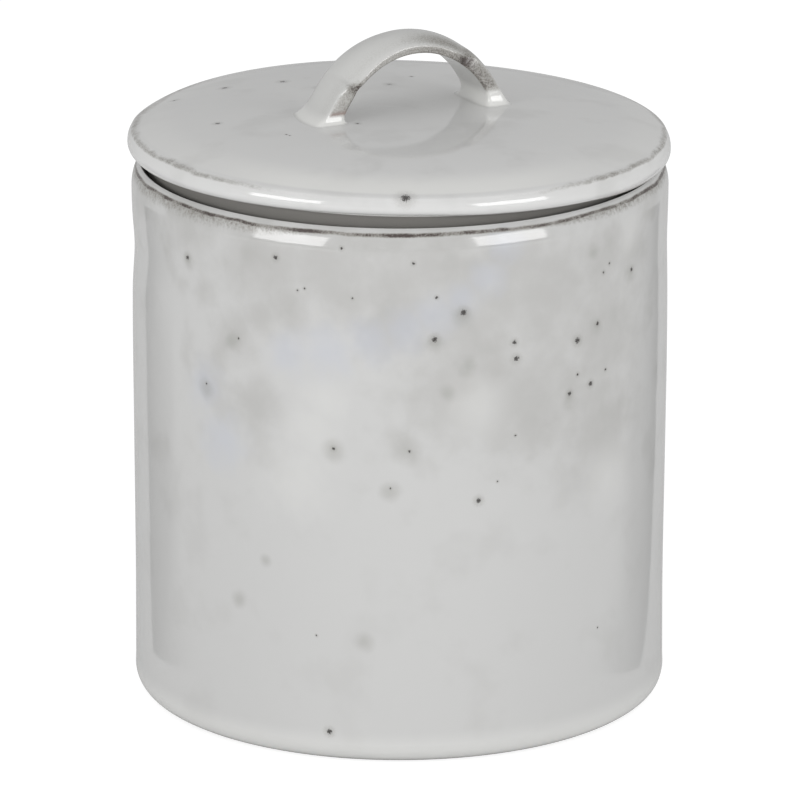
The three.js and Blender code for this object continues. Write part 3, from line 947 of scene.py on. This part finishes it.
def lid_breaks(glaze, place, radius, height, right):
    """The grey lines along the brim, the whiter band on the dome that is partly painted light, and the
    bare seat and flange.
    """
    level = add(glaze, "Math", {0: right, 1: LID_TILT, 2: height}, operation="MULTIPLY_ADD")
    wander = add(glaze, "TexNoise", {"Vector": place, "Scale": 1 / (11 * MM), "Detail": 3.0})
    torn = add(glaze, "TexNoise", {"Vector": place, "Scale": 1 / (2.2 * MM), "Detail": 4.0})
    low, high = ((BRIM_BREAK_Z + way * BRIM_WANDER) * MM for way in (-1, 1))
    line = add(glaze, "MapRange", {0: wander, 1: 0.3, 2: 0.7, 3: low, 4: high})
    away = add(glaze, "Math", {0: level, 1: line}, operation="SUBTRACT")
    away = add(glaze, "Math", {0: away}, operation="ABSOLUTE")
    stroke = add(glaze, "MapRange", {0: away, 1: 0.9 * MM, 2: 0.05 * MM, 3: 0.0, 4: 0.6}, **SMOOTH)
    side = add(glaze, "Math", {0: right}, operation="ABSOLUTE")
    side = add(glaze, "MapRange", {0: side, 1: 22 * MM, 2: 46 * MM, 3: 0.3, 4: 1.0}, **SMOOTH)
    torn = add(glaze, "MapRange", {0: torn, 1: 0.3, 2: 0.7, 3: 0.65, 4: 1.1})
    stroke = add(glaze, "Math", {0: stroke, 1: side}, **TIMES)
    stroke = add(glaze, "Math", {0: stroke, 1: torn}, **TIMES)
    lower = add(glaze, "Math", {0: level, 1: UNDER_BREAK_Z * MM}, operation="SUBTRACT")
    lower = add(glaze, "Math", {0: lower}, operation="ABSOLUTE")
    lower = add(glaze, "MapRange", {0: lower, 1: 0.35 * MM, 2: 0.05 * MM, 3: 0.0, 4: 0.45}, **SMOOTH)
    thin = add(glaze, "Math", {0: stroke, 1: lower}, operation="MAXIMUM")
    outer = add(glaze, "Math", {0: radius, 1: (BRIM_RADIUS - 4.5) * MM}, operation="GREATER_THAN")
    thin = add(glaze, "Math", {0: thin, 1: outer}, **TIMES)
    # Collected glaze and painted light from overhead: a whiter band inside the shoulder, strongest at the
    # front and back.
    start, full, fade, end = (edge * MM for edge in BAND)
    band_and_light = add(glaze, "MapRange", {0: radius, 1: start, 2: full, 3: 0.0, 4: BAND_WHITE_AND_LIGHT}, **SMOOTH)
    inside = add(glaze, "MapRange", {0: radius, 1: end, 2: fade, 3: 0.0, 4: 1.0}, **SMOOTH)
    band_and_light = add(glaze, "Math", {0: band_and_light, 1: inside}, **TIMES)
    middle = add(glaze, "MapRange", {0: side, 1: 0.3, 2: 1.0, 3: 1.0, 4: 0.35})
    band_and_light = add(glaze, "Math", {0: band_and_light, 1: middle}, **TIMES)

    # The seat is bare clay, and its dark colour also paints the shade in the gap under the brim.
    seat = {0: level, 1: (BRIM_UNDER_Z + 0.05) * MM, 2: (BRIM_UNDER_Z - 0.15) * MM}
    seat = add(glaze, "MapRange", seat)
    ring = add(glaze, "Math", {0: radius, 1: (FLANGE_OUTER - 1.2) * MM}, operation="GREATER_THAN")
    bare = add(glaze, "Math", {0: seat, 1: ring}, **TIMES)
    return thin, band_and_light, bare


lid_glaze = stoneware_glaze("white_stoneware_glaze_lid", LID_WHITE_WITH_PAINTED_LIGHT, 0.2, lid_marks, lid_breaks)

# %% [markdown]
# The handle's glaze is a little greyer than the lid's, whose white carries painted light. Where it breaks
# was stored with the mesh, so its material only reads the three attributes. The bare clay at the legs was
# burnt red by the fire.

# %% Where the handle's glaze breaks
def handle_breaks(glaze, place, radius, height, right):
    """The three masks that the handle's own attributes give."""
    masks = ("thin", "pool", "bare")
    return tuple(add(glaze, "Attribute", out=2, attribute_name=name) for name in masks)


handle_marks = {"iron": lid_marks["iron"], "red": True}
handle_glaze = stoneware_glaze(
    "white_stoneware_glaze_handle", HANDLE_WHITE, 0.3, handle_marks, handle_breaks
)
for piece, material in ((jar, jar_glaze), (lid, lid_glaze), (handle, handle_glaze)):
    piece.data.materials.clear()
    piece.data.materials.append(material)
    print(material.name, len(material.node_tree.nodes), "nodes")

# %% [markdown]
# The photograph was taken on a pale table in a pale room. A floor painted pure white would throw too much
# light up at the jar, so it is pale grey to the light and to reflections, and white to the camera alone.
# The camera's white still takes a little shade, so that the jar stands on something.

# %% Floor
FLOOR_GREY = 0.8
FLOOR_GLOW = 0.86
SHADED_GREY = 0.3
MATT = 0.9
bpy.ops.object.select_all(action="DESELECT")
bpy.ops.mesh.primitive_plane_add(size=8)
floor = bpy.context.active_object
floor.name = "floor"
floor_paint, floor_shader = new_material("pale_floor_paint")
floor_shader.inputs["Base Color"].default_value = (FLOOR_GREY, FLOOR_GREY, FLOOR_GREY, 1)
floor_shader.inputs["Roughness"].default_value = MATT
path = add(floor_paint, "LightPath")
glow = add(floor_paint, "Emission", {"Color": (1, 1, 1, 1), "Strength": FLOOR_GLOW})
shaded = add(floor_paint, "BsdfDiffuse", {"Color": (SHADED_GREY, SHADED_GREY, SHADED_GREY, 1)})
both = add(floor_paint, "AddShader", {0: glow, 1: shaded})
surface = add(floor_paint, "MixShader", {0: path, 1: floor_shader.outputs[0], 2: both})
floor_paint.node_tree.links.new(surface, floor_paint.node_tree.nodes["Material Output"].inputs["Surface"])
floor.data.materials.append(floor_paint)
print(floor.name, "painted", floor_paint.name)

# %% [markdown]
# The room is an even sky, a little brighter overhead. To the camera it is white as well.

# %% Sky
SKY_LOW, SKY_HIGH = 0.52, 0.64
scene = bpy.context.scene
scene.view_settings.view_transform = "Standard"
world = bpy.data.worlds.new("studio")
scene.world = world
world.use_nodes = True
way = add(world, "TexCoord")
rise = add(world, "SeparateXYZ", {0: way}, out=2)
step = add(world, "MapRange", {0: rise, 1: 0.6, 2: 0.95, 3: SKY_LOW, 4: SKY_HIGH}, **SMOOTH)
path = add(world, "LightPath")
level = add(world, "Mix", {0: path, 2: step, 3: 1.0}, out=0)
world.node_tree.links.new(level, world.node_tree.nodes["Background"].inputs["Strength"])
world.node_tree.nodes["Background"].inputs["Color"].default_value = (1, 1, 1, 1)
print("sky from", SKY_LOW, "to", SKY_HIGH)

# %% [markdown]
# Two softboxes stand in front, one on each side. They draw the bright bars on the brim and on the rim, so
# their height and width were found from those bars.

# %% Softboxes
SOFTBOX_SIDE = math.radians(47)
SOFTBOX_UP = math.radians(12)
SOFTBOX_AWAY = 1.0
SOFTBOX_SIZE = (0.55, 0.42)
SOFTBOX_WATTS = 3.4
AIM = Vector((0, 0, 0.1))
for side in (-1, 1):
    angle = VIEW_AZIMUTH + side * SOFTBOX_SIDE
    level = Vector((math.sin(angle), -math.cos(angle), 0)) * math.cos(SOFTBOX_UP)
    spot = AIM + (level + Vector((0, 0, math.sin(SOFTBOX_UP)))) * SOFTBOX_AWAY
    turn = (AIM - spot).to_track_quat("-Z", "Y").to_euler()
    bpy.ops.object.light_add(type="AREA", location=spot, rotation=turn)
    lamp = bpy.context.active_object
    lamp.name = "softbox_left" if side < 0 else "softbox_right"
    lamp.data.shape = "RECTANGLE"
    lamp.data.size, lamp.data.size_y = SOFTBOX_SIZE
    lamp.data.energy = SOFTBOX_WATTS
    print(lamp.name, lamp.data.energy, "W")

# %% [markdown]
# The ground beyond the table was darker, and the glossy wall mirrors it as a thin dark line down each
# side. Two cards on the floor do this. They fade towards the front, and only reflections see them.

# %% Dark ground beside the white table
CARD_BLACK = 0.02
CARD_LIFT = 0.5
CARD_FADE = 0.9
# Corners of each card: to the camera's right and away from the camera, in millimetres.
CARDS = (
    ("dark_ground_left", ((-85, 6), (-330, 324), (-560, 190), (-95, -50))),
    ("dark_ground_right", ((80, -6), (290, 357), (540, 230), (95, -60))),
)
ground, ground_shader = new_material("dark_ground")
ground_shader.inputs["Base Color"].default_value = (CARD_BLACK, CARD_BLACK, CARD_BLACK, 1)
ground_shader.inputs["Roughness"].default_value = MATT
inward = add(ground, "SeparateXYZ", {0: add(ground, "TexCoord", out=2)}, out=1)
clear = add(ground, "MapRange", {0: inward, 1: 0.0, 2: CARD_FADE, 3: 0.0, 4: 1.0}, **SMOOTH)
nothing = add(ground, "BsdfTransparent")
surface = add(ground, "MixShader", {0: clear, 1: ground_shader.outputs[0], 2: nothing})
ground.node_tree.links.new(surface, ground.node_tree.nodes["Material Output"].inputs["Surface"])
for name, corners in CARDS:
    bpy.ops.object.select_all(action="DESELECT")
    bpy.ops.mesh.primitive_plane_add(size=1)
    card = bpy.context.active_object
    card.name = name
    card.data.materials.append(ground)
    for vertex, (side, away) in zip((card.data.vertices[i] for i in (0, 1, 3, 2)), corners):
        vertex.co = (TO_RIGHT * side - TO_CAMERA * away) * MM + Vector((0, 0, CARD_LIFT * MM))
    card.visible_camera = card.visible_diffuse = card.visible_shadow = False
    print(card.name, "lies on the floor")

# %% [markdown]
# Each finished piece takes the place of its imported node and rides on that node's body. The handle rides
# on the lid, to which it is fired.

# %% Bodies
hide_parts("jar")
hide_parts("lid")
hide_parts("handle")
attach(jar, "jar")
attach(lid, "lid")
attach(handle, "lid")
